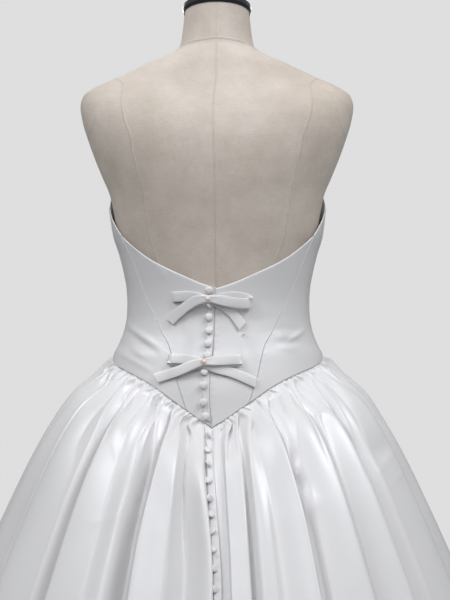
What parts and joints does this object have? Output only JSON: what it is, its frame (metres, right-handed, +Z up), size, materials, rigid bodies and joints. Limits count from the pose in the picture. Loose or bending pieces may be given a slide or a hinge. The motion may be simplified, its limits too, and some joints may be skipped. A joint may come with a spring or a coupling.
{
  "type": "ball gown on a dress form",
  "caption": "Strapless satin ball gown with a low V back, basque waist, gathered full skirt, covered buttons and small bows, on a limbless linen dress form with a pole and round base.",
  "frame": {"origin": "on the floor, at the middle of the underside of the stand's round base", "axes": "+Z up along the stand's pole, -Y towards the gown's front, +Y towards its buttoned back, +X towards the wearer's left"},
  "size_m": [1.2103, 1.0819, 1.4963],
  "materials": {
    "satin": "heavy white satin with a soft sheen",
    "linen": "plain undyed linen, matt, with a fine weave",
    "cap": "dark, polished",
    "metal": "dark powder coat, soft gloss",
    "pearl": "pale peach pearl lustre"
  },
  "bodies": {
    "root": {"form_torso": "linen", "form_neck_cap": "cap", "stand_pole": "metal", "stand_base": "metal", "bodice_back_left": "satin", "bodice_side_back_left": "satin", "bodice_side_front_left": "satin", "bodice_front": "satin", "bodice_side_front_right": "satin", "bodice_side_back_right": "satin", "bodice_back_right": "satin", "skirt_back_left": "satin", "skirt_front": "satin", "skirt_back_right": "satin", "button_stand_bodice": "satin", "button_stand_skirt": "satin", "button_01": "satin", "button_02": "satin", "button_03": "satin", "button_04": "satin", "button_05": "satin", "button_06": "satin", "button_07": "satin", "button_08": "satin", "button_09": "satin", "button_10": "satin", "button_11": "satin", "button_12": "satin", "button_13": "satin", "button_14": "satin", "button_15": "satin", "button_16": "satin", "button_17": "satin", "button_18": "satin", "button_19": "satin", "button_20": "satin", "button_21": "satin", "bow_upper_over": "satin", "bow_upper_under": "satin", "pearl_upper": "pearl", "bow_lower_over": "satin", "bow_lower_under": "satin", "pearl_lower": "pearl"}
  },
  "joints": []
}
